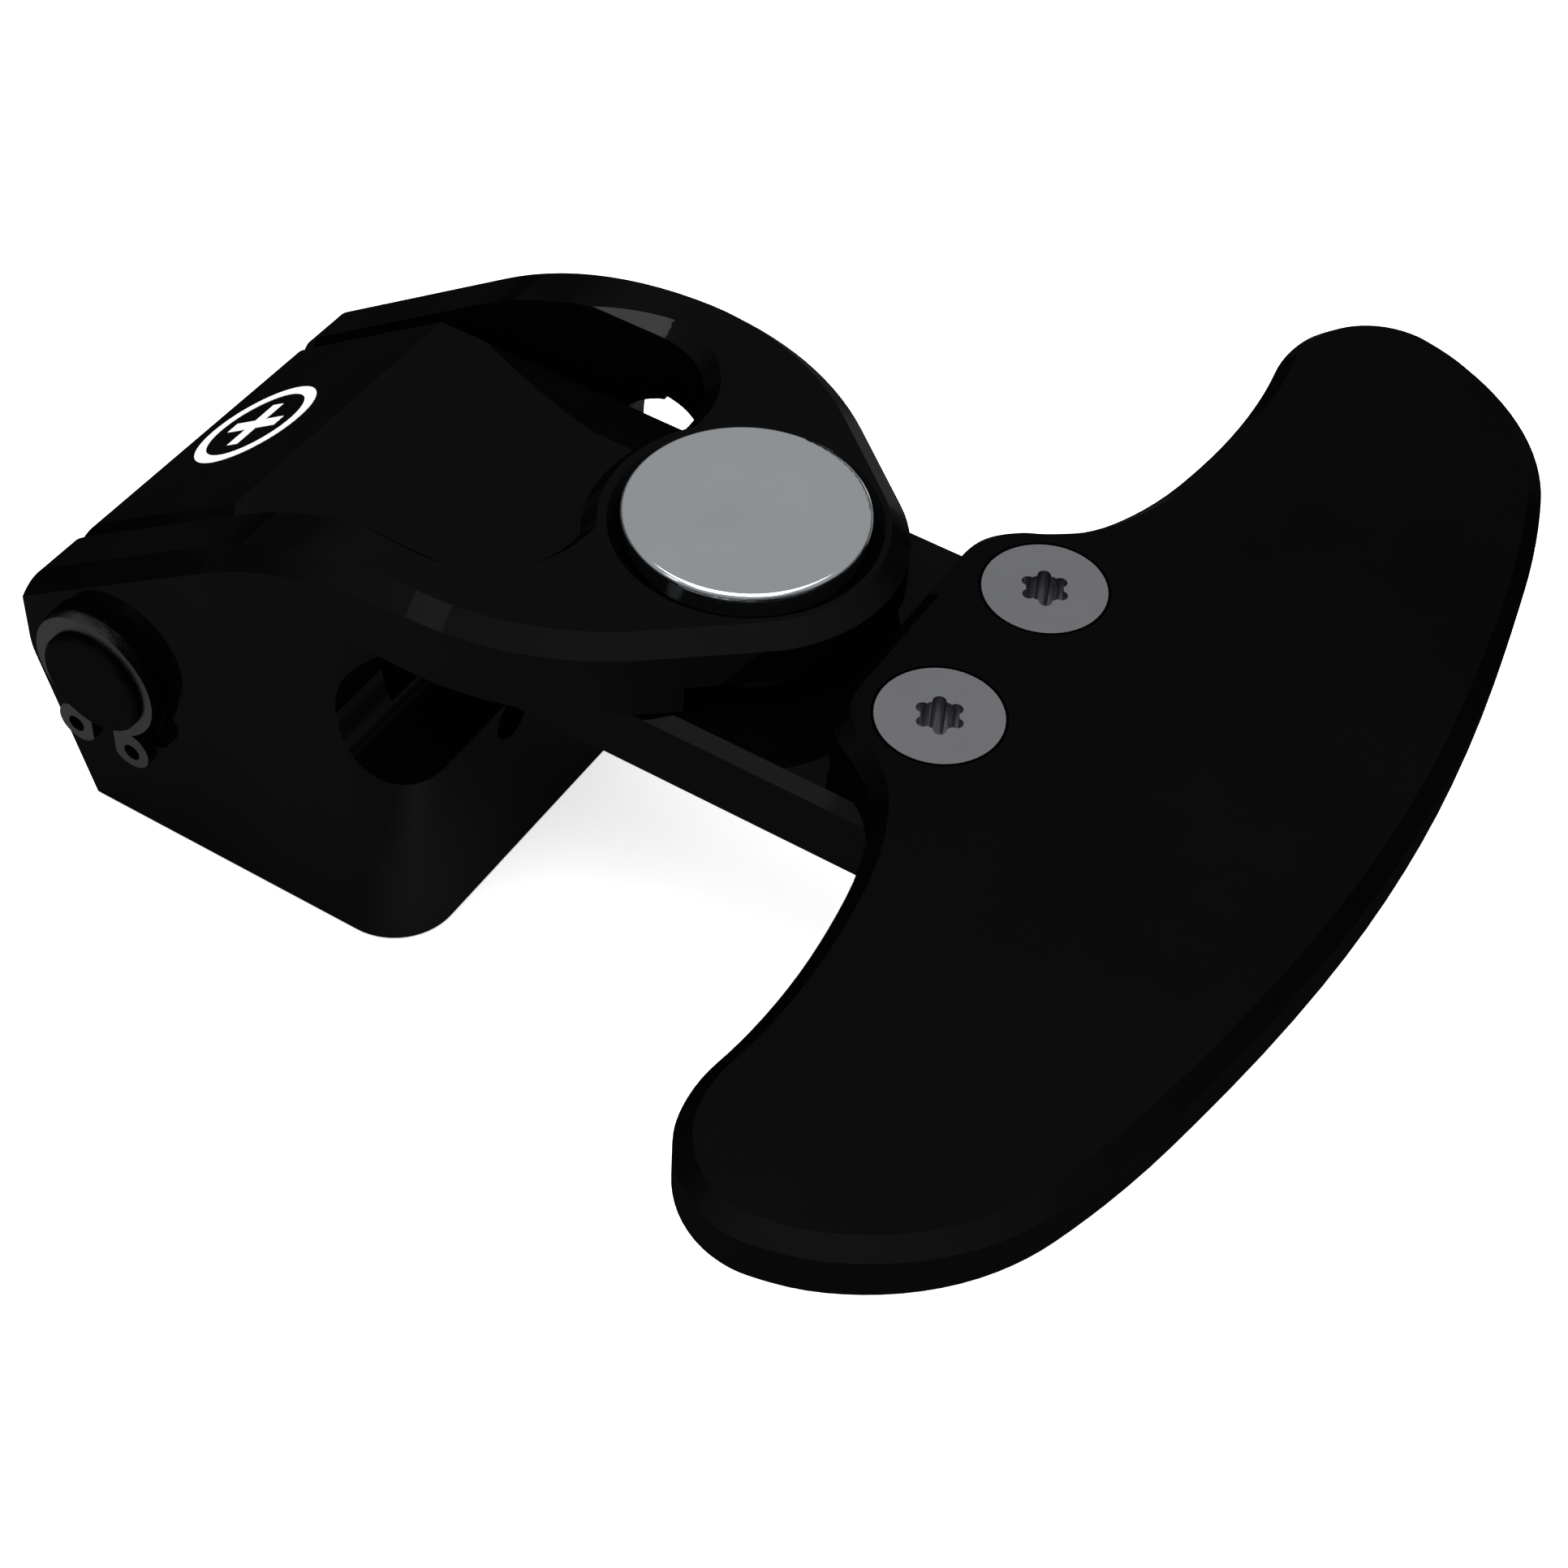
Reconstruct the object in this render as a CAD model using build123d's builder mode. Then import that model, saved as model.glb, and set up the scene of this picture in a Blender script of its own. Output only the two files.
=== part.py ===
# Magnetic paddle shifter module: clevis housing with a magnet ring, pivoting lever arm and C-shaped blade.
# Millimetres. X runs from the pivot to the blade, Y along the pivot pin, Z up from the mounting face.
import os
from math import sqrt, radians, cos, sin, tan, atan, hypot
from build123d import *

os.makedirs("parts", exist_ok=True)

# ---------------------------------------------------------------- driving dimensions
HALF_W = 13.55           # housing half width
BASE_L, BASE_R = -10.92, 10.05
CORNER_R = 3.5
NOSE_X = -13.95          # leftmost face of the nose
NOSE_LOW_Z = 9.55
NOSE_R = 2.6
TOP_Z = 26.4             # top of the magnet ring
SLOPE = 0.667            # fall of the sloping face, dz/dx
BEND_X, BEND_R = 4.36, 24.5   # where slope and flat top would meet, and the arc between them
TOP_CH = 0.95            # top edge chamfer

PIN_X, PIN_Z, PIN_R = -8.45, 11.02, 3.0
PIN_HALF = 15.2
PIN_GROOVE_R, PIN_GROOVE_Y, PIN_GROOVE_W = 2.85, 14.42, 0.76

SLOT_X, SLOT_Z, SLOT_R = 11.8, 16.5, 5.4
WALL_Z = 21.9            # underside of the side walls beyond the slot

MAG_X, MAG_R, MAG_T = 21.0, 6.0, 3.0
RING_R = 7.85
RING_Z = 23.45           # underside of the ring
MAG_TOP_Z = 27.15
CHEEK_IN = 9.85          # inner face of each cheek
WIN_X, WIN_CORNER = 14.6, 4.95
WIN_CH = 0.8             # depth and width of the flare around the window

ARM_W = 9.15             # arm half width
ARM_L = -13.8            # front face of the arm, flush with the noses
ARM_TOP, ARM_BOT = 21.4, 17.4
ARM_KNEE_Z = 14.45
ARM_END = 43.6
PAD_X, PAD_W, PAD_TOP = 31.2, 8.2, 22.35
HUB_R = 5.2
HUB_CAVITY_R = 5.6
ARM_MAG_TOP = 22.7

SCREW_X, SCREW_Y = 34.5, 5.0
BLADE_T, BLADE_CH = 3.0, 0.8
BLADE_TOP = PAD_TOP + BLADE_T

FLOOR_Z = 6.2            # switch pocket floor
WEB_L, WEB_R, WEB_TOP = -2.2, 0.6, 12.55
POCKET_R = 6.6
END_WALL_Z = 14.25       # end wall height between the cheeks
SW_X0, SW_X1, SW_HALF, SW_TOP, SW_SPLIT = 0.62, 6.42, 6.4, 12.75, 8.85
PLUNGER_X, PLUNGER_TOP = 3.6, 14.2
CLAMP_Y, CLAMP_Z, CLAMP_R = 4.15, 10.05, 1.25
MOUNT_X, MOUNT_Y, MOUNT_R, MOUNT_DEPTH = 7.0, 11.2, 1.25, 6.5


def slope_z(x):
    # height of the sloping face, carried on past the bend
    return TOP_Z - SLOPE * (BEND_X - x)


def top_z(x):
    # height of the finished top surface: slope, arc, flat
    theta = atan(SLOPE)
    run = BEND_R * tan(theta / 2)
    if x >= BEND_X + run:
        return TOP_Z
    if x <= BEND_X - run * cos(theta):
        return slope_z(x)
    return TOP_Z - BEND_R + sqrt(BEND_R ** 2 - (BEND_X + run - x) ** 2)


# ---------------------------------------------------------------- housing
with BuildPart() as housing:
    # base block in plan, full height
    with BuildSketch(Plane.XY) as base_plan:
        with Locations(((NOSE_X - 4 + BASE_R) / 2, 0)):
            Rectangle(BASE_R - NOSE_X + 4, 2 * HALF_W)
        fillet(base_plan.vertices().group_by(Axis.X)[-1], CORNER_R)
    extrude(amount=TOP_Z)
    # upper plate in plan: cheeks that blend into the magnet ring
    with BuildSketch(Plane.XY.offset(WALL_Z)) as top_plan:
        ang = radians(50)
        tx, ty = MAG_X + RING_R * cos(ang), RING_R * sin(ang)
        bx = tx - (HALF_W - ty) / tan(radians(40))
        Polygon((NOSE_X - 4, -HALF_W), (bx, -HALF_W), (tx, -ty), (tx, ty), (bx, HALF_W), (NOSE_X - 4, HALF_W), align=None)
        fillet([v for v in top_plan.vertices() if abs(v.X - bx) < 0.01], 16.5)
        with Locations((MAG_X, 0)):
            Circle(RING_R)
    extrude(amount=TOP_Z - WALL_Z)
    # side profile: flat top, curved fall and slope
    with BuildSketch(Plane.XZ) as side:
        with BuildLine():
            Polyline((NOSE_X - 6, slope_z(NOSE_X - 6)), (NOSE_X - 6, 0), (45, 0), (45, TOP_Z), (BEND_X, TOP_Z),
                     (NOSE_X - 6, slope_z(NOSE_X - 6)))
        make_face()
        fillet([v for v in side.vertices() if abs(v.X - BEND_X) < 0.01], BEND_R)
    extrude(amount=HALF_W + 5, both=True, mode=Mode.INTERSECT)
    # outer top chamfer
    rim = []
    for e in housing.edges():
        p = e.position_at(0.5)
        if abs(p.Z - top_z(p.X)) < 2e-3 and p.X > NOSE_X - 3.9 and (abs(p.Y) > 0.5 or p.X > MAG_X + RING_R - 0.5):
            rim.append(e)
    chamfer(rim, TOP_CH)
    # nose
    with BuildSketch(Plane.XZ) as nose:
        with BuildLine():
            Polyline((NOSE_X, slope_z(NOSE_X)), (NOSE_X, NOSE_LOW_Z), (BASE_L, 0), (45, 0), (45, slope_z(12)), (12, slope_z(12)),
                     (NOSE_X, slope_z(NOSE_X)))
        make_face()
        fillet([v for v in nose.vertices() if abs(v.X - NOSE_X) < 0.01 and v.Y > 12], NOSE_R)
        fillet([v for v in nose.vertices() if abs(v.X - NOSE_X) < 0.01 and v.Y < 10], 4.0)
    extrude(amount=HALF_W + 5, both=True, mode=Mode.INTERSECT)
    # slot through both cheeks
    with BuildSketch(Plane.XZ):
        with Locations((SLOT_X, SLOT_Z)):
            Circle(SLOT_R)
    extrude(amount=HALF_W + 5, both=True, mode=Mode.SUBTRACT)
    # lever pocket between the cheeks
    with BuildSketch(Plane.XZ):
        with BuildLine():
            Polyline((-20, 35), (-20, PIN_Z - HUB_CAVITY_R), (PIN_X, PIN_Z - HUB_CAVITY_R))
            ThreePointArc((PIN_X, PIN_Z - HUB_CAVITY_R),
                          (PIN_X + HUB_CAVITY_R * sqrt(0.5), PIN_Z - HUB_CAVITY_R * sqrt(0.5)),
                          (PIN_X + HUB_CAVITY_R, PIN_Z))
            Polyline((PIN_X + HUB_CAVITY_R, PIN_Z), (WEB_L, WEB_TOP), (WEB_R, WEB_TOP), (WEB_R, FLOOR_Z),
                     (POCKET_R, FLOOR_Z), (POCKET_R, END_WALL_Z), (WIN_X - WIN_CORNER, END_WALL_Z), (WIN_X - WIN_CORNER, 35), (-20, 35))
        make_face()
    extrude(amount=CHEEK_IN, both=True, mode=Mode.SUBTRACT)
    # right end of the window, stopped by the ring wall
    with BuildSketch(Plane.XY.offset(15.75)) as win:
        with Locations(((WIN_X + 8.0) / 2, 0)):
            Rectangle(WIN_X - 8.0, 2 * CHEEK_IN)
        fillet(win.vertices().group_by(Axis.X)[-1], WIN_CORNER)
        with Locations((MAG_X, 0)):
            Circle(RING_R, mode=Mode.SUBTRACT)
    extrude(amount=20, mode=Mode.SUBTRACT)
    # 45 degree flare around the window, only where the top is flat enough
    with BuildSketch(Plane.XY.offset(TOP_Z - WIN_CH)) as flare:
        with Locations(((WIN_X - 6.0) / 2, 0)):
            Rectangle(WIN_X + 6.0, 2 * CHEEK_IN)
        fillet(flare.vertices().group_by(Axis.X)[-1], WIN_CORNER)
        with Locations((MAG_X, 0)):
            Circle(RING_R, mode=Mode.SUBTRACT)
    extrude(amount=WIN_CH + 0.3, taper=-45, mode=Mode.SUBTRACT)
    # relief under the ring
    with BuildSketch(Plane.XY.offset(WALL_Z - 2)):
        with Locations((MAG_X + 3, 0)):
            Rectangle(24, 17.0)
    extrude(amount=RING_Z - WALL_Z + 2, mode=Mode.SUBTRACT)
    # magnet seat with a chamfered mouth
    with BuildSketch(Plane.XY.offset(MAG_TOP_Z - MAG_T)):
        with Locations((MAG_X, 0)):
            Circle(MAG_R + 0.04)
    extrude(amount=6, mode=Mode.SUBTRACT)
    with BuildSketch(Plane.XZ):
        with BuildLine():
            Polyline((MAG_X, TOP_Z + 0.01), (MAG_X + MAG_R + 0.62, TOP_Z + 0.01), (MAG_X + MAG_R + 0.04, TOP_Z - 0.55),
                     (MAG_X, TOP_Z - 0.55), (MAG_X, TOP_Z + 0.01))
        make_face()
    revolve(axis=Axis((MAG_X, 0, 0), (0, 0, 1)), mode=Mode.SUBTRACT)
    # pivot bore
    with BuildSketch(Plane.XZ):
        with Locations((PIN_X, PIN_Z)):
            Circle(PIN_R)
    extrude(amount=HALF_W + 5, both=True, mode=Mode.SUBTRACT)
    # switch clamp screw holes in the end face
    with BuildSketch(Plane.YZ.offset(POCKET_R - 1)):
        with Locations((CLAMP_Y, CLAMP_Z), (-CLAMP_Y, CLAMP_Z)):
            Circle(CLAMP_R + 0.02)
    extrude(amount=8, mode=Mode.SUBTRACT)
    # lead exit below the switch
    with BuildSketch(Plane.XY):
        with Locations((PLUNGER_X, 0)):
            RectangleRounded(2.8, 12.4, 1.2)
    extrude(amount=FLOOR_Z + 0.5, mode=Mode.SUBTRACT)
    # groove for the down-stop strip
    with BuildSketch(Plane.XY.offset(11.25)):
        with Locations((-0.8, 0)):
            Rectangle(1.6, 12.0)
    extrude(amount=3, mode=Mode.SUBTRACT)
    # mounting holes
    with BuildSketch(Plane.XY):
        with GridLocations(2 * MOUNT_X, 2 * MOUNT_Y, 2, 2):
            Circle(MOUNT_R)
    extrude(amount=MOUNT_DEPTH, mode=Mode.SUBTRACT)
housing.part.label = "housing"
export_step(housing.part, "parts/housing.step")

# ---------------------------------------------------------------- lever arm
with BuildPart() as lever_arm:
    with BuildSketch(Plane.XZ):
        with BuildLine():
            top_x = BEND_X - (TOP_Z - ARM_TOP) / SLOPE
            Polyline((ARM_L - 5, slope_z(ARM_L - 5)), (top_x, ARM_TOP), (ARM_END, ARM_TOP), (ARM_END, ARM_BOT), (9.2, ARM_BOT),
                     (5.2, ARM_KNEE_Z + 0.3), (4.6, ARM_KNEE_Z), (PIN_X + 3.0, ARM_KNEE_Z), (PIN_X + 3.0, 0), (ARM_L - 5, 0),
                     (ARM_L - 5, slope_z(ARM_L - 5)))
        make_face()
    extrude(amount=ARM_W, both=True)
    # edge breaks along the arm
    brk = [e for e in lever_arm.edges().filter_by(GeomType.LINE)
           if abs(abs(e.center().Y) - ARM_W) < 1e-3 and (abs(e.center().Z - ARM_TOP) < 1e-3 or abs(e.center().Z - slope_z(e.center().X)) < 1e-3)]
    chamfer(brk, 0.6)
    # rounded front and hub
    with BuildSketch(Plane.XZ) as arm_side:
        with BuildLine():
            Polyline((ARM_L, slope_z(ARM_L)), (12, slope_z(12)), (ARM_END + 5, slope_z(12)), (ARM_END + 5, ARM_KNEE_Z),
                     (PIN_X + 3.0, ARM_KNEE_Z), (PIN_X, PIN_Z), (-11.4, 8.6), (ARM_L, NOSE_LOW_Z + 0.1), (ARM_L, slope_z(ARM_L)))
        make_face()
        fillet([v for v in arm_side.vertices() if abs(v.X - ARM_L) < 0.01 and v.Y > PIN_Z], NOSE_R)
        with Locations((PIN_X, PIN_Z)):
            Circle(HUB_R)
    extrude(amount=ARM_W, both=True, mode=Mode.INTERSECT)
    with BuildSketch(Plane.XZ):
        with Locations((PIN_X, PIN_Z)):
            Circle(HUB_R)
    extrude(amount=ARM_W, both=True)
    # blade pad
    with BuildSketch(Plane.XY.offset(ARM_TOP - 0.5)):
        with Locations(((PAD_X + ARM_END) / 2, 0)):
            Rectangle(ARM_END - PAD_X, 2 * PAD_W)
    extrude(amount=PAD_TOP - ARM_TOP + 0.5)
    # magnet seat
    with BuildSketch(Plane.XY.offset(ARM_MAG_TOP - MAG_T)):
        with Locations((MAG_X, 0)):
            Circle(MAG_R + 0.02)
    extrude(amount=6, mode=Mode.SUBTRACT)
    # bush bore
    with BuildSketch(Plane.XZ):
        with Locations((PIN_X, PIN_Z)):
            Circle(4.0)
    extrude(amount=ARM_W + 5, both=True, mode=Mode.SUBTRACT)
    # insert holes
    with BuildSketch(Plane.XY.offset(ARM_BOT - 1)):
        with Locations((SCREW_X, SCREW_Y), (SCREW_X, -SCREW_Y)):
            Circle(2.05)
    extrude(amount=10, mode=Mode.SUBTRACT)
lever_arm.part.label = "lever_arm"
export_step(lever_arm.part, "parts/lever_arm.step")

# ---------------------------------------------------------------- paddle blade
OUTER = [(55.43, 0), (55.28, 5.25), (54.83, 10.1), (54.2, 14.25), (53.4, 18.75), (52.5, 22.5), (51.6, 25.3), (50.4, 27.7),
         (48.9, 29.6), (47.1, 31.15), (45.1, 32.35), (43.1, 33.1), (41.2, 33.4), (39.5, 33.05), (37.95, 32.05), (36.8, 30.5),
         (36.32, 28.7), (36.35, 27.0), (36.65, 24.4), (36.76, 21.75), (36.58, 18.8), (36.1, 15.6), (35.5, 13.3), (34.75, 11.55),
         (33.8, 10.2), (32.6, 9.2), (31.1, 8.25), (30.35, 7.5), (29.92, 6.5), (29.8, 5.4)]
KEY = [0, 3, 5, 7, 9, 11, 12, 13, 15, 16, 18, 20, 22, 24, 25, 26, 27, 29]


def heading(i):
    # direction of travel along the outline at point i
    if i == 0:
        return (0.0, 1.0)
    if i == len(OUTER) - 1:
        return (0.0, -1.0)
    (x0, y0), (x1, y1), (x2, y2) = OUTER[i - 1], OUTER[i], OUTER[i + 1]
    la, lb = hypot(x1 - x0, y1 - y0), hypot(x2 - x1, y2 - y1)
    tx, ty = (x1 - x0) / la * lb + (x2 - x1) / lb * la, (y1 - y0) / la * lb + (y2 - y1) / lb * la
    return (tx / hypot(tx, ty), ty / hypot(tx, ty))


def turned(p, q, t):
    # heading at q of the arc that leaves p with heading t
    cx, cy = (q[0] - p[0]) / hypot(q[0] - p[0], q[1] - p[1]), (q[1] - p[1]) / hypot(q[0] - p[0], q[1] - p[1])
    d = cx * t[0] + cy * t[1]
    return (2 * d * cx - t[0], 2 * d * cy - t[1])


# the outline as a chain of tangent arcs, two per pair of key points
ARCS = []
for a, b in zip(KEY, KEY[1:]):
    p0, p1, t0, t1 = OUTER[a], OUTER[b], heading(a), heading(b)
    vx, vy = p1[0] - p0[0], p1[1] - p0[1]
    vt = vx * (t0[0] + t1[0]) + vy * (t0[1] + t1[1])
    den = 2 * (1 - t0[0] * t1[0] - t0[1] * t1[1])
    d = (sqrt(vt * vt + den * (vx * vx + vy * vy)) - vt) / den
    m = ((p0[0] + p1[0] + d * (t0[0] - t1[0])) / 2, (p0[1] + p1[1] + d * (t0[1] - t1[1])) / 2)
    ARCS += [(p0, m, t0), (m, p1, turned(p0, m, t0))]

with BuildPart() as paddle_blade:
    with BuildSketch(Plane.XY.offset(PAD_TOP)):
        with BuildLine():
            for p, q, t in ARCS:
                TangentArc(p, q, tangent=t)
            Line(OUTER[-1], (OUTER[-1][0], -OUTER[-1][1]))
            for p, q, t in ARCS[::-1]:
                e = turned(p, q, t)
                TangentArc((q[0], -q[1]), (p[0], -p[1]), tangent=(-e[0], e[1]))
        make_face()
    extrude(amount=BLADE_T)
    # bevelled upper rim
    chamfer(paddle_blade.faces().sort_by(Axis.Z)[-1].edges(), BLADE_CH)
    # countersunk screw holes
    with BuildSketch(Plane.XY.offset(PAD_TOP - 1)):
        with Locations((SCREW_X, SCREW_Y), (SCREW_X, -SCREW_Y)):
            Circle(1.65)
    extrude(amount=6, mode=Mode.SUBTRACT)
    with Locations((SCREW_X, SCREW_Y, BLADE_TOP - 0.95), (SCREW_X, -SCREW_Y, BLADE_TOP - 0.95)):
        Cone(1.65, 3.15, 1.5, mode=Mode.SUBTRACT)
    with Locations((SCREW_X, SCREW_Y, BLADE_TOP), (SCREW_X, -SCREW_Y, BLADE_TOP)):
        Cylinder(3.15, 0.4, mode=Mode.SUBTRACT)
paddle_blade.part.label = "paddle_blade"
export_step(paddle_blade.part, "parts/paddle_blade.step")

# ---------------------------------------------------------------- blade screws, two countersunk
with BuildPart() as blade_screws:
    with Locations((SCREW_X, SCREW_Y, BLADE_TOP - 0.1), (SCREW_X, -SCREW_Y, BLADE_TOP - 0.1)):
        Cylinder(3.0, 0.2)
    with Locations((SCREW_X, SCREW_Y, BLADE_TOP - 0.95), (SCREW_X, -SCREW_Y, BLADE_TOP - 0.95)):
        Cone(1.5, 3.0, 1.5)
    with BuildSketch(Plane.XY.offset(18.15)):
        with Locations((SCREW_X, SCREW_Y), (SCREW_X, -SCREW_Y)):
            Circle(1.5)
    extrude(amount=BLADE_TOP - 1.5 - 18.15)
    # six-lobe sockets
    with BuildSketch(Plane.XY.offset(BLADE_TOP - 1.6)):
        with Locations((SCREW_X, SCREW_Y), (SCREW_X, -SCREW_Y)):
            Circle(0.9)
            with PolarLocations(0.88, 6):
                Circle(0.32)
    extrude(amount=2, mode=Mode.SUBTRACT)
blade_screws.part.label = "blade_screws"
export_step(blade_screws.part, "parts/blade_screws.step")

# ---------------------------------------------------------------- threaded inserts for the blade screws
with BuildPart() as blade_inserts:
    with BuildSketch(Plane.XY.offset(17.95)):
        with Locations((SCREW_X, SCREW_Y), (SCREW_X, -SCREW_Y)):
            Circle(2.05)
            Circle(1.5, mode=Mode.SUBTRACT)
    extrude(amount=PAD_TOP - 0.1 - 17.95)
blade_inserts.part.label = "blade_inserts"
export_step(blade_inserts.part, "parts/blade_inserts.step")

# ---------------------------------------------------------------- magnets
with BuildPart() as ring_magnet:
    with BuildSketch(Plane.XY.offset(MAG_TOP_Z - MAG_T)):
        with Locations((MAG_X, 0)):
            Circle(MAG_R)
    extrude(amount=MAG_T)
    fillet(ring_magnet.edges().filter_by(GeomType.CIRCLE), 0.28)
ring_magnet.part.label = "ring_magnet"
export_step(ring_magnet.part, "parts/ring_magnet.step")

with BuildPart() as arm_magnet:
    with BuildSketch(Plane.XY.offset(ARM_MAG_TOP - MAG_T)):
        with Locations((MAG_X, 0)):
            Circle(MAG_R)
    extrude(amount=MAG_T)
    chamfer(arm_magnet.edges().filter_by(GeomType.CIRCLE), 0.25)
arm_magnet.part.label = "arm_magnet"
export_step(arm_magnet.part, "parts/arm_magnet.step")

# ---------------------------------------------------------------- rest pad under the ring
with BuildPart() as damper_pad:
    with BuildSketch(Plane.XY.offset(ARM_MAG_TOP)):
        with Locations((MAG_X, 0)):
            Circle(4.6)
    extrude(amount=RING_Z - ARM_MAG_TOP)
damper_pad.part.label = "damper_pad"
export_step(damper_pad.part, "parts/damper_pad.step")

# ---------------------------------------------------------------- pivot pin
with BuildPart() as pivot_pin:
    with BuildSketch(Plane.XZ):
        with Locations((PIN_X, PIN_Z)):
            Circle(PIN_R)
    extrude(amount=PIN_HALF, both=True)
    chamfer(pivot_pin.edges().filter_by(GeomType.CIRCLE), 0.15)
    for s in (-1, 1):
        with BuildSketch(Plane.XZ.offset(-s * PIN_GROOVE_Y - PIN_GROOVE_W / 2)):
            with Locations((PIN_X, PIN_Z)):
                Circle(PIN_R + 0.5)
                Circle(PIN_GROOVE_R, mode=Mode.SUBTRACT)
        extrude(amount=PIN_GROOVE_W, mode=Mode.SUBTRACT)
pivot_pin.part.label = "pivot_pin"
export_step(pivot_pin.part, "parts/pivot_pin.step")

# ---------------------------------------------------------------- circlips, one at each pin end
with BuildPart() as circlips:
    for s in (-1, 1):
        with BuildSketch(Plane.XZ.offset(-s * PIN_GROOVE_Y - 0.35)):
            with Locations((PIN_X, PIN_Z + 0.25)):
                Circle(3.75)
            for a in (-1, 1):
                with Locations((PIN_X + a * 1.75, PIN_Z - 4.1)):
                    Circle(1.2)
            with Locations((PIN_X, PIN_Z)):
                Circle(PIN_GROOVE_R + 0.02, mode=Mode.SUBTRACT)
            with Locations((PIN_X, PIN_Z - 4.6)):
                Rectangle(1.5, 4.0, mode=Mode.SUBTRACT)
            for a in (-1, 1):
                with Locations((PIN_X + a * 1.85, PIN_Z - 4.25)):
                    Circle(0.5, mode=Mode.SUBTRACT)
        extrude(amount=0.7)
circlips.part.label = "circlips"
export_step(circlips.part, "parts/circlips.step")

# ---------------------------------------------------------------- outer washers, between cheek and circlip
with BuildPart() as washer_front:
    with BuildSketch(Plane.XZ.offset(HALF_W)):
        with Locations((PIN_X, PIN_Z)):
            Circle(4.05)
            Circle(PIN_R, mode=Mode.SUBTRACT)
    extrude(amount=0.5)
washer_front.part.label = "washer_front"
export_step(washer_front.part, "parts/washer_front.step")

with BuildPart() as washer_rear:
    with BuildSketch(Plane.XZ.offset(-HALF_W)):
        with Locations((PIN_X, PIN_Z)):
            Circle(4.05)
            Circle(PIN_R, mode=Mode.SUBTRACT)
    extrude(amount=-0.5)
washer_rear.part.label = "washer_rear"
export_step(washer_rear.part, "parts/washer_rear.step")

# ---------------------------------------------------------------- hub shims, between hub and cheek
with BuildPart() as shim_front:
    with BuildSketch(Plane.XZ.offset(ARM_W + 0.07)):
        with Locations((PIN_X, PIN_Z)):
            Circle(4.8)
            Circle(PIN_R, mode=Mode.SUBTRACT)
    extrude(amount=CHEEK_IN - ARM_W - 0.07)
shim_front.part.label = "shim_front"
export_step(shim_front.part, "parts/shim_front.step")

with BuildPart() as shim_rear:
    with BuildSketch(Plane.XZ.offset(-ARM_W - 0.07)):
        with Locations((PIN_X, PIN_Z)):
            Circle(4.8)
            Circle(PIN_R, mode=Mode.SUBTRACT)
    extrude(amount=-(CHEEK_IN - ARM_W - 0.07))
shim_rear.part.label = "shim_rear"
export_step(shim_rear.part, "parts/shim_rear.step")

# ---------------------------------------------------------------- hub bushes, pressed into the arm
with BuildPart() as bush_front:
    with BuildSketch(Plane.XZ.offset(1.6)):
        with Locations((PIN_X, PIN_Z)):
            Circle(4.0)
            Circle(PIN_R + 0.03, mode=Mode.SUBTRACT)
    extrude(amount=ARM_W - 1.6)
bush_front.part.label = "bush_front"
export_step(bush_front.part, "parts/bush_front.step")

with BuildPart() as bush_rear:
    with BuildSketch(Plane.XZ.offset(-1.6)):
        with Locations((PIN_X, PIN_Z)):
            Circle(4.0)
            Circle(PIN_R + 0.03, mode=Mode.SUBTRACT)
    extrude(amount=-(ARM_W - 1.6))
bush_rear.part.label = "bush_rear"
export_step(bush_rear.part, "parts/bush_rear.step")

# ---------------------------------------------------------------- snap switch: base, cover, plunger, terminals
with BuildPart() as switch_base:
    with BuildSketch(Plane.XY.offset(FLOOR_Z)):
        with Locations(((SW_X0 + SW_X1) / 2, 0)):
            Rectangle(SW_X1 - SW_X0, 2 * SW_HALF)
    extrude(amount=SW_SPLIT - FLOOR_Z)
    with BuildSketch(Plane.XY.offset(FLOOR_Z)):
        with Locations((PLUNGER_X, 0), (PLUNGER_X, 4.6), (PLUNGER_X, -4.6)):
            Rectangle(0.5, 1.1)
    extrude(amount=1.4, mode=Mode.SUBTRACT)
switch_base.part.label = "switch_base"
export_step(switch_base.part, "parts/switch_base.step")

with BuildPart() as switch_cover:
    with BuildSketch(Plane.XY.offset(SW_SPLIT)):
        with Locations(((SW_X0 + SW_X1) / 2, 0)):
            Rectangle(SW_X1 - SW_X0, 2 * SW_HALF)
    extrude(amount=SW_TOP - SW_SPLIT)
    chamfer(switch_cover.faces().sort_by(Axis.Z)[-1].edges(), 0.3)
    with BuildSketch(Plane.XY.offset(SW_TOP - 2.4)):
        with Locations((PLUNGER_X, 0)):
            Rectangle(1.66, 2.86)
    extrude(amount=4, mode=Mode.SUBTRACT)
switch_cover.part.label = "switch_cover"
export_step(switch_cover.part, "parts/switch_cover.step")

with BuildPart() as switch_plunger:
    with BuildSketch(Plane.XY.offset(SW_TOP - 1.15)):
        with Locations((PLUNGER_X, 0)):
            Rectangle(1.6, 2.8)
    extrude(amount=PLUNGER_TOP - SW_TOP + 1.15)
    fillet(switch_plunger.faces().sort_by(Axis.Z)[-1].edges().filter_by(Axis.Y), 0.5)
switch_plunger.part.label = "switch_plunger"
export_step(switch_plunger.part, "parts/switch_plunger.step")

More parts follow.
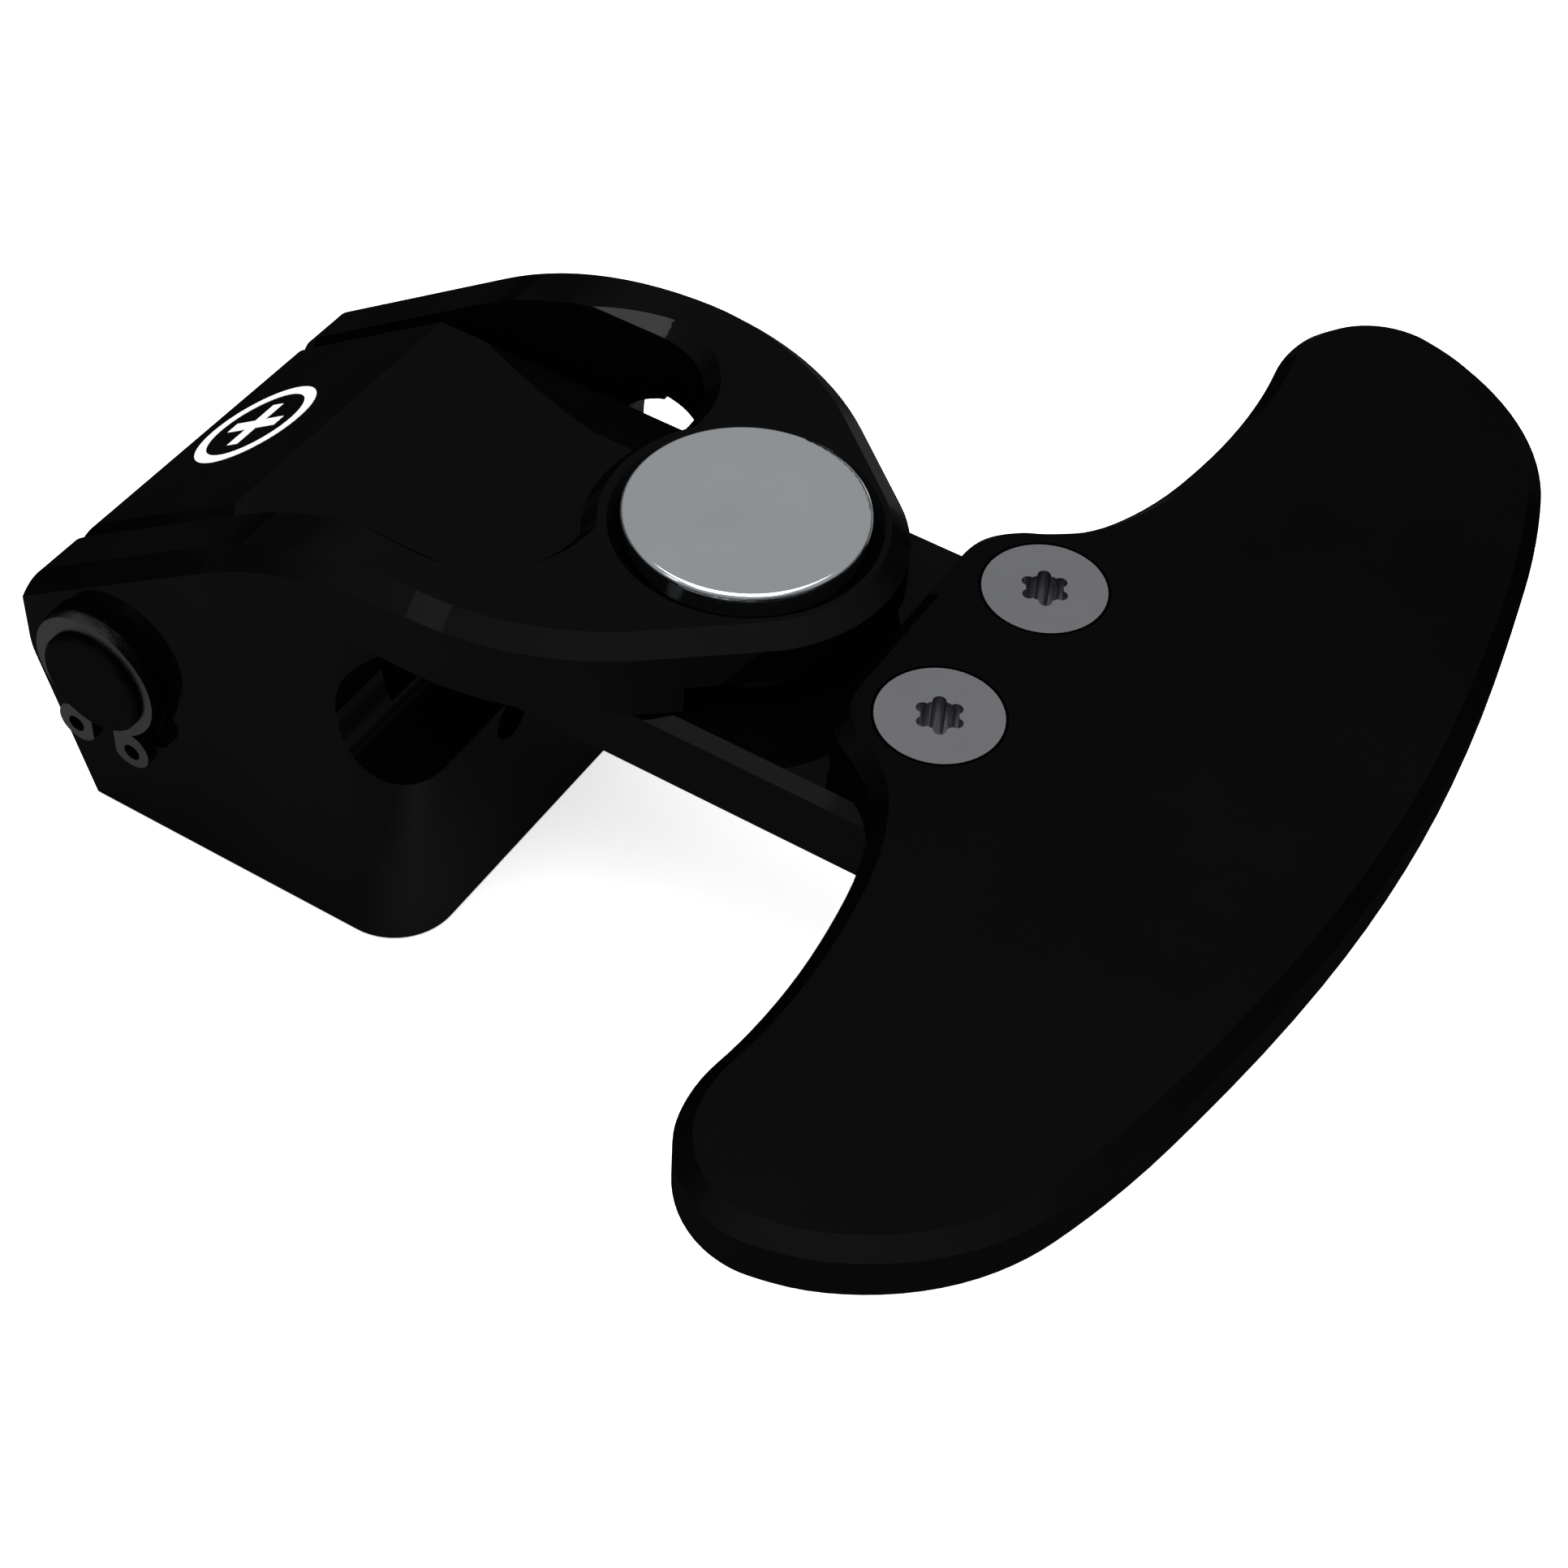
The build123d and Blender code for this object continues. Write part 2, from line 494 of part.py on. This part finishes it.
with BuildPart() as switch_terminals:
    with BuildSketch(Plane.XY.offset(FLOOR_Z - 3.4)):
        with Locations((PLUNGER_X, 0), (PLUNGER_X, 4.6), (PLUNGER_X, -4.6)):
            Rectangle(0.5, 1.1)
    extrude(amount=3.4 + 1.4)
    with BuildSketch(Plane.YZ.offset(PLUNGER_X - 1)):
        with Locations((0, FLOOR_Z - 2.3), (4.6, FLOOR_Z - 2.3), (-4.6, FLOOR_Z - 2.3)):
            Circle(0.3)
    extrude(amount=2, mode=Mode.SUBTRACT)
switch_terminals.part.label = "switch_terminals"
export_step(switch_terminals.part, "parts/switch_terminals.step")

# ---------------------------------------------------------------- clamp screws that hold the switch
with BuildPart() as clamp_screws:
    with BuildSketch(Plane.YZ.offset(SW_X1)):
        with Locations((CLAMP_Y, CLAMP_Z), (-CLAMP_Y, CLAMP_Z)):
            Circle(CLAMP_R)
    extrude(amount=9.5 - SW_X1)
    chamfer(clamp_screws.edges().filter_by(GeomType.CIRCLE), 0.2)
    with BuildSketch(Plane.YZ.offset(8.2)):
        with Locations((CLAMP_Y, CLAMP_Z), (-CLAMP_Y, CLAMP_Z)):
            RegularPolygon(0.75, 6)
    extrude(amount=3, mode=Mode.SUBTRACT)
clamp_screws.part.label = "clamp_screws"
export_step(clamp_screws.part, "parts/clamp_screws.step")

# ---------------------------------------------------------------- down-stop strip on the web
with BuildPart() as stop_strip:
    with BuildSketch(Plane.XY.offset(11.25)):
        with Locations((-0.8, 0)):
            Rectangle(1.6, 12.0)
    extrude(amount=2.6)
    fillet(stop_strip.faces().sort_by(Axis.Z)[-1].edges().filter_by(Axis.Y), 0.4)
stop_strip.part.label = "stop_strip"
export_step(stop_strip.part, "parts/stop_strip.step")
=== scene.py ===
from math import sin, cos, pi, radians, sqrt, hypot

import bmesh
import bpy
from mathutils import Matrix, Vector


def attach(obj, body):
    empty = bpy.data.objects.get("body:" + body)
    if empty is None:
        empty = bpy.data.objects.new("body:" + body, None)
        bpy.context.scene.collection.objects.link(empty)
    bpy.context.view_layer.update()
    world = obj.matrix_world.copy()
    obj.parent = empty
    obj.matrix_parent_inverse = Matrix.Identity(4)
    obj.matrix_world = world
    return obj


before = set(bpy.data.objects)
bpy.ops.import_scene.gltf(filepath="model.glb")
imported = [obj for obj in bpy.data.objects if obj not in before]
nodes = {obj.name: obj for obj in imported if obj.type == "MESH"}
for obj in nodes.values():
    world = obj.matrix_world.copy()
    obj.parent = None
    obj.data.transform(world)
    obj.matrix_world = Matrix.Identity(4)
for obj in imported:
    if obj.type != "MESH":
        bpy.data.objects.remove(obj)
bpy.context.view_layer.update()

MM = 0.001
scene = bpy.context.scene
scene.view_settings.view_transform = "Standard"
scene.view_settings.look = "None"


# ------------------------------------------------------------------ material helpers
class Graph:
    """A small wrapper that keeps node code short."""

    def __init__(self, name):
        self.mat = bpy.data.materials.new(name)
        self.mat.use_nodes = True
        self.t = self.mat.node_tree
        self.t.nodes.clear()
        self.out = self.n("ShaderNodeOutputMaterial")
        self.bsdf = self.n("ShaderNodeBsdfPrincipled")
        self.t.links.new(self.bsdf.outputs[0], self.out.inputs[0])
        self.coord = self.n("ShaderNodeTexCoord").outputs["Object"]

    def n(self, kind, **props):
        node = self.t.nodes.new(kind)
        for k, v in props.items():
            setattr(node, k, v)
        return node

    def put(self, socket, value):
        if isinstance(value, bpy.types.NodeSocket):
            self.t.links.new(value, socket)
        elif value is not None:
            socket.default_value = value

    def math(self, op, a, b=None, clamp=False):
        m = self.n("ShaderNodeMath", operation=op, use_clamp=clamp)
        self.put(m.inputs[0], a)
        if b is not None:
            self.put(m.inputs[1], b)
        return m.outputs[0]

    def noise(self, scale, detail=3.0, rough=0.5, vector=None, distortion=0.0):
        k = self.n("ShaderNodeTexNoise")
        k.inputs["Scale"].default_value = scale
        k.inputs["Detail"].default_value = detail
        k.inputs["Roughness"].default_value = rough
        k.inputs["Distortion"].default_value = distortion
        self.put(k.inputs["Vector"], vector if vector is not None else self.coord)
        return k.outputs["Fac"]

    def remap(self, value, a, b, c, d):
        m = self.n("ShaderNodeMapRange")
        self.put(m.inputs["Value"], value)
        for key, v in (("From Min", a), ("From Max", b), ("To Min", c), ("To Max", d)):
            m.inputs[key].default_value = v
        return m.outputs[0]

    def mix(self, fac, a, b):
        m = self.n("ShaderNodeMix", data_type="RGBA")
        self.put(m.inputs["Factor"], fac)
        self.put(m.inputs[6], a)
        self.put(m.inputs[7], b)
        return m.outputs[2]

    def mapping(self, loc=(0, 0, 0), rot=(0, 0, 0), scale=(1, 1, 1)):
        m = self.n("ShaderNodeMapping")
        self.put(m.inputs["Vector"], self.coord)
        m.inputs["Location"].default_value = loc
        m.inputs["Rotation"].default_value = rot
        m.inputs["Scale"].default_value = scale
        return m.outputs[0]

    def bump(self, height, strength, distance):
        b = self.n("ShaderNodeBump")
        b.inputs["Strength"].default_value = strength
        b.inputs["Distance"].default_value = distance
        self.put(b.inputs["Height"], height)
        return b.outputs[0]

    def set(self, **values):
        for k, v in values.items():
            self.put(self.bsdf.inputs[k.replace("_", " ")], v)


def rgb(r, g, b):
    """sRGB 0-255 to linear RGBA."""
    f = lambda c: c / 255 / 12.92 if c / 255 <= 0.04045 else ((c / 255 + 0.055) / 1.055) ** 2.4
    return (f(r), f(g), f(b), 1.0)


def black_coat(name, tone, f0, rough, tint=(1, 1, 1), grain=6500.0, edge=0.3, even=2.62):
    """Near-black anodised or coated metal: soft cloudy tone, fine blasted grain, faint edge wear with a painted edge
    highlight.
    """
    g = Graph(name)
    cloud = g.noise(90, 3, 0.55)
    fine = g.noise(grain, 2, 0.6)
    dark = tuple(tone * 0.75 * c for c in tint) + (1,)
    lite = tuple(tone * 1.3 * c for c in tint) + (1,)
    base = g.mix(g.remap(cloud, 0.35, 0.65, 0, 1), dark, lite)
    # thin lighter line where two faces meet: partly edge wear, partly a painted highlight
    bev = g.n("ShaderNodeBevel", samples=4)
    bev.inputs["Radius"].default_value = 0.16 * MM
    geo = g.n("ShaderNodeNewGeometry")
    dot = g.n("ShaderNodeVectorMath", operation="DOT_PRODUCT")
    g.put(dot.inputs[0], bev.outputs[0])
    g.put(dot.inputs[1], geo.outputs["Normal"])
    edge_wear_and_highlight = g.remap(dot.outputs["Value"], 0.995, 0.90, 0, 1)
    edge_wear_and_highlight = g.math("MULTIPLY", edge_wear_and_highlight, g.remap(g.noise(700, 4, 0.7), 0.35, 0.7, 0.2, 1.0))
    # painted highlight: edge colour lifted to four times the tone, broken up by wear noise
    base = g.mix(g.math("MULTIPLY", edge_wear_and_highlight, edge), base, tuple(tone * 4 * c for c in tint) + (1,))
    r = g.math("ADD", g.remap(cloud, 0.3, 0.7, rough * 0.85, rough * 1.2), g.remap(fine, 0.3, 0.7, 0.0, 0.012))
    smudge = g.remap(g.noise(38, 5, 0.62, distortion=0.8), 0.5, 0.75, 0, 0.02)
    r = g.math("ADD", r, smudge)
    # the coat's sheen stays even towards grazing angles
    look = g.n("ShaderNodeVectorMath", operation="DOT_PRODUCT")
    g.put(look.inputs[0], geo.outputs["Normal"])
    g.put(look.inputs[1], geo.outputs["Incoming"])
    facing = g.math("ABSOLUTE", look.outputs["Value"], clamp=True)
    level = g.math("MULTIPLY", g.math("POWER", facing, even), f0 / 0.08)
    g.set(Base_Color=base, Roughness=r, Specular_IOR_Level=level, Metallic=0.0,
          Normal=g.bump(fine, 0.02, 0.01 * MM))
    return g.mat


def metal(name, colour, rough, brushed=None, centre=(0, 0, 0), strength=0.05, var=0.08):
    """Bare or plated metal. brushed is None, 'turned' for rings round Z at each of the centres, or 'x'/'y'/'z'."""
    g = Graph(name)
    cloud = g.noise(260, 4, 0.6)
    c0 = tuple(c * (1 - var) for c in colour[:3]) + (1,)
    c1 = tuple(min(1, c * (1 + var)) for c in colour[:3]) + (1,)
    base = g.mix(g.remap(cloud, 0.3, 0.7, 0, 1), c0, c1)
    fine = g.noise(4200, 3, 0.6)
    if brushed in ("x", "y", "z"):
        s = {"x": (60, 9000, 9000), "y": (9000, 60, 9000), "z": (9000, 9000, 60)}[brushed]
        fine = g.noise(1.0, 3, 0.6, vector=g.mapping(scale=s))
    if brushed == "turned":
        rings = None
        for c in centre:
            m = g.mapping(loc=(-c[0] * MM, -c[1] * MM, 0))
            sep = g.n("ShaderNodeSeparateXYZ")
            g.put(sep.inputs[0], m)
            d = g.math("SQRT", g.math("ADD", g.math("MULTIPLY", sep.outputs[0], sep.outputs[0]),
                                      g.math("MULTIPLY", sep.outputs[1], sep.outputs[1])))
            rings = d if rings is None else g.math("MINIMUM", rings, d)
        comb = g.n("ShaderNodeCombineXYZ")
        g.put(comb.inputs[0], g.math("MULTIPLY", rings, 14000.0))
        fine = g.noise(1.0, 2, 0.6, vector=comb.outputs[0])
    scratch = g.noise(1.0, 2, 0.5, vector=g.mapping(rot=(0, 0, 0.6), scale=(120, 6000, 6000)))
    r = g.math("ADD", g.remap(fine, 0.3, 0.7, rough * 0.8, rough * 1.25), g.remap(scratch, 0.62, 0.75, 0, 0.05))
    g.set(Base_Color=base, Roughness=r, Metallic=1.0, Normal=g.bump(fine, strength, 0.01 * MM))
    return g.mat


def plastic(name, colour, rough, spec=0.5, grain=2600.0, strength=0.25, var=0.15):
    """Moulded plastic or rubber with an eroded mould texture."""
    g = Graph(name)
    cloud = g.noise(420, 4, 0.6)
    c0 = tuple(c * (1 - var) for c in colour[:3]) + (1,)
    c1 = tuple(min(1, c * (1 + var)) for c in colour[:3]) + (1,)
    fine = g.noise(grain, 3, 0.65)
    g.set(Base_Color=g.mix(g.remap(cloud, 0.3, 0.7, 0, 1), c0, c1),
          Roughness=g.remap(fine, 0.3, 0.7, rough * 0.85, min(1.0, rough * 1.15)),
          Specular_IOR_Level=spec, Normal=g.bump(fine, strength, 0.015 * MM))
    return g.mat


M_BLACK = black_coat("anodised_black", 0.0008, 0.0134, 0.03, even=3.3)
M_BLADE = black_coat("blade_black", 0.0006, 0.0126, 0.03, tint=(0.90, 0.96, 1.15), even=4.2)
M_PIN = black_coat("pin_black_oxide", 0.0006, 0.0055, 0.08, grain=4200)
M_WASHER = plastic("washer_black", (0.0004, 0.0004, 0.0004), 0.55, spec=0.01)
M_MAGNET = metal("nickel_plate", rgb(196, 201, 205), 0.09, brushed="turned", centre=[(21, 0)], strength=0.03, var=0.02)
M_SCREW = metal("screw_steel", rgb(150, 151, 155), 0.16, brushed="turned", centre=[(34.5, 5), (34.5, -5)], strength=0.10, var=0.04)
M_CLIP = metal("spring_steel", rgb(62, 62, 65), 0.24, brushed="x", strength=0.15)
M_BRASS = metal("insert_brass", (0.62, 0.42, 0.16), 0.25, brushed="turned", centre=[(34.5, 5), (34.5, -5)])
M_DARK = metal("black_oxide_steel", rgb(52, 52, 55), 0.3, strength=0.1)
M_RUBBER = plastic("rubber_black", (0.012, 0.012, 0.012), 0.7, spec=0.3, grain=3200, strength=0.4)
M_POLY = plastic("bearing_polymer", (0.02, 0.02, 0.021), 0.5, spec=0.3)
M_SWITCH = plastic("switch_plastic", rgb(70, 71, 74), 0.38, spec=0.5)
M_PLUNGER = plastic("plunger_plastic", rgb(150, 38, 30), 0.35, spec=0.5)
M_PRINT = plastic("print_white", rgb(240, 240, 240), 0.4, spec=0.3, grain=5200, strength=0.15, var=0.03)

LOOK = {
    "housing": M_BLACK, "lever_arm": M_BLACK, "paddle_blade": M_BLADE, "blade_screws": M_SCREW,
    "blade_inserts": M_BRASS, "ring_magnet": M_MAGNET, "arm_magnet": M_MAGNET, "damper_pad": M_RUBBER,
    "pivot_pin": M_PIN, "circlips": M_CLIP, "washer_front": M_WASHER, "washer_rear": M_WASHER,
    "shim_front": M_POLY, "shim_rear": M_POLY, "bush_front": M_POLY, "bush_rear": M_POLY,
    "switch_base": M_SWITCH, "switch_cover": M_SWITCH, "switch_plunger": M_PLUNGER,
    "switch_terminals": M_MAGNET, "clamp_screws": M_DARK, "stop_strip": M_RUBBER,
}
for name, obj in nodes.items():
    obj.data.materials.clear()
    obj.data.materials.append(LOOK[name])

# ------------------------------------------------------------------ printed mark on the arm's slope
def plate(name, outlines, origin, u, v, n, low, high):
    """Thin closed plates: each outline is a list of loops of (a, b) points in mm, the first loop outer, the rest inner of equal count."""
    bm = bmesh.new()
    place = lambda a, b, h: bm.verts.new((Vector(origin) + Vector(u) * a + Vector(v) * b + Vector(n) * h) * MM)
    for loops in outlines:
        rings = [([place(a, b, low) for a, b in loop], [place(a, b, high) for a, b in loop]) for loop in loops]
        if len(rings) == 1:
            lo, hi = rings[0]
            bm.faces.new(hi)
            bm.faces.new(lo[::-1])
        else:
            (lo, hi), (lo2, hi2) = rings
            k = len(lo)
            for i in range(k):
                j = (i + 1) % k
                bm.faces.new((hi[i], hi[j], hi2[j], hi2[i]))
                bm.faces.new((lo[j], lo[i], lo2[i], lo2[j]))
        for lo, hi in rings:
            k = len(lo)
            for i in range(k):
                j = (i + 1) % k
                bm.faces.new((lo[i], lo[j], hi[j], hi[i]))
    bmesh.ops.recalc_face_normals(bm, faces=bm.faces)
    mesh = bpy.data.meshes.new(name)
    bm.to_mesh(mesh)
    bm.free()
    ob = bpy.data.objects.new(name, mesh)
    scene.collection.objects.link(ob)
    return ob


FALL = 0.667
hyp = hypot(1, FALL)
su, sv, sn = (1 / hyp, 0, FALL / hyp), (0, 1, 0), (-FALL / hyp, 0, 1 / hyp)
mark_x = -9.1
mark_at = (mark_x, 0.0, 26.4 - FALL * (4.36 - mark_x))
ring = [[(r * cos(2 * pi * i / 96), r * sin(2 * pi * i / 96)) for i in range(96)] for r in (3.65, 2.95)]
c, a = 0.42, 1.95
plus = [[(a, -c), (a, c), (c, c), (c, a), (-c, a), (-c, c), (-a, c), (-a, -c), (-c, -c), (-c, -a), (c, -a), (c, -c)]]
mark = plate("printed_plus_mark", [ring, plus], mark_at, su, sv, sn, 0.004, 0.03)
mark.data.materials.append(M_PRINT)
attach(mark, "lever")

# ------------------------------------------------------------------ stage, light, camera
bpy.ops.mesh.primitive_plane_add(size=6.0, location=(0, 0, -0.0002))
floor = bpy.context.object
floor.name = "floor"
fg = Graph("floor_pale")
lp = fg.n("ShaderNodeLightPath")
tone = fg.remap(fg.noise(2.2, 3, 0.5), 0.3, 0.7, 0.90, 0.94)
pale = fg.n("ShaderNodeCombineColor")
for i in range(3):
    fg.put(pale.inputs[i], tone)
fgeo = fg.n("ShaderNodeNewGeometry")
flen = fg.n("ShaderNodeVectorMath", operation="LENGTH")
fg.put(flen.inputs[0], fgeo.outputs["Position"])
# painted reflection: the floor colour glossy rays see fades from 0.28 near the part to 0.05 farther out
near = fg.remap(flen.outputs["Value"], 0.14, 0.34, 0.28, 0.05)
fsep = fg.n("ShaderNodeSeparateXYZ")
fg.put(fsep.inputs[0], fgeo.outputs["Position"])
# painted reflection, seen only by glossy rays: darker floor beyond the nose, a brighter patch behind the end wall
near = fg.math("MULTIPLY", near, fg.remap(fsep.outputs[0], -0.042, -0.026, 0.22, 1.0))
behind = fg.math("MULTIPLY", fg.remap(fsep.outputs[0], 0.006, 0.010, 0.0, 1.0), fg.remap(fsep.outputs[1], -0.020, -0.013, 0.0, 0.6))
behind = fg.math("MULTIPLY", behind, fg.remap(fsep.outputs[0], 0.022, 0.030, 1.0, 0.0))
near = fg.math("ADD", near, behind)
seen = fg.n("ShaderNodeCombineColor")
for i in range(3):
    fg.put(seen.inputs[i], near)
# camera and diffuse rays see the pale floor; glossy rays see the painted reflection floor
fg.set(Base_Color=fg.mix(lp.outputs["Is Glossy Ray"], pale.outputs[0], seen.outputs[0]),
       Roughness=0.8, Specular_IOR_Level=0.1,
       Emission_Color=(1, 1, 1, 1), Emission_Strength=fg.math("MULTIPLY", lp.outputs["Is Camera Ray"], 0.62))
floor.data.materials.append(fg.mat)

world = bpy.data.worlds.new("studio")
scene.world = world
world.use_nodes = True
wt = world.node_tree
bg = wt.nodes["Background"]
wlp = wt.nodes.new("ShaderNodeLightPath")
wtc = wt.nodes.new("ShaderNodeTexCoord")
wsep = wt.nodes.new("ShaderNodeSeparateXYZ")
wt.links.new(wtc.outputs["Generated"], wsep.inputs[0])
wmap = wt.nodes.new("ShaderNodeMapRange")
for key, v in (("From Min", 0.20), ("From Max", 0.40), ("To Min", 0.15), ("To Max", 0.48)):
    wmap.inputs[key].default_value = v
wt.links.new(wsep.outputs[2], wmap.inputs["Value"])
wmix = wt.nodes.new("ShaderNodeMix")
wmix.data_type = "FLOAT"
wt.links.new(wlp.outputs["Is Glossy Ray"], wmix.inputs["Factor"])
wmix.inputs[2].default_value = 0.75
wt.links.new(wmap.outputs[0], wmix.inputs[3])
bg.inputs[0].default_value = (1, 1, 1, 1)
wcam = wt.nodes.new("ShaderNodeMix")
wcam.data_type = "FLOAT"
wt.links.new(wlp.outputs["Is Camera Ray"], wcam.inputs["Factor"])
wt.links.new(wmix.outputs[0], wcam.inputs[2])
wcam.inputs[3].default_value = 1.0
wt.links.new(wcam.outputs[0], bg.inputs[1])


def area(name, loc, target, size, power, size_y=None, colour=(1, 1, 1)):
    light = bpy.data.lights.new(name, "AREA")
    light.energy = power
    light.color = colour
    light.size = size
    if size_y:
        light.shape = "RECTANGLE"
        light.size_y = size_y
    ob = bpy.data.objects.new(name, light)
    scene.collection.objects.link(ob)
    ob.location = loc
    ob.rotation_euler = (Vector(target) - Vector(loc)).to_track_quat("-Z", "Y").to_euler()
    return ob


area("key_top", (0.05, -0.07, 0.9), (0.02, 0, 0), 0.9, 9.0)
area("card_flare", (-0.222, -0.336, 0.386), (0.009, 0.010, 0.026), 0.10, 0.095, size_y=0.07)
area("card_edge", (-0.195, -0.405, 0.340), (0.015, -0.010, 0.026), 0.11, 0.009, size_y=0.05)

cam_data = bpy.data.cameras.new("cam")
cam_data.lens = 3755.1 / 1932 * 36
cam_data.sensor_width = 36.0
cam_data.shift_x = -26.1 / 1932
cam_data.shift_y = 1.9 / 1932
cam_data.clip_start = 0.001
cam = bpy.data.objects.new("cam", cam_data)
scene.collection.objects.link(cam)
right = Vector((0.85208, 0.52083, 0.05187))
down = Vector((0.41478, -0.61148, -0.67384))
fwd = Vector((-0.31923, 0.59568, -0.73706))
rot = Matrix((right, -down, -fwd)).transposed().to_4x4()
cam.matrix_world = Matrix.Translation(Vector((0.07452, -0.09197, 0.12420))) @ rot
scene.camera = cam

bpy.context.view_layer.update()
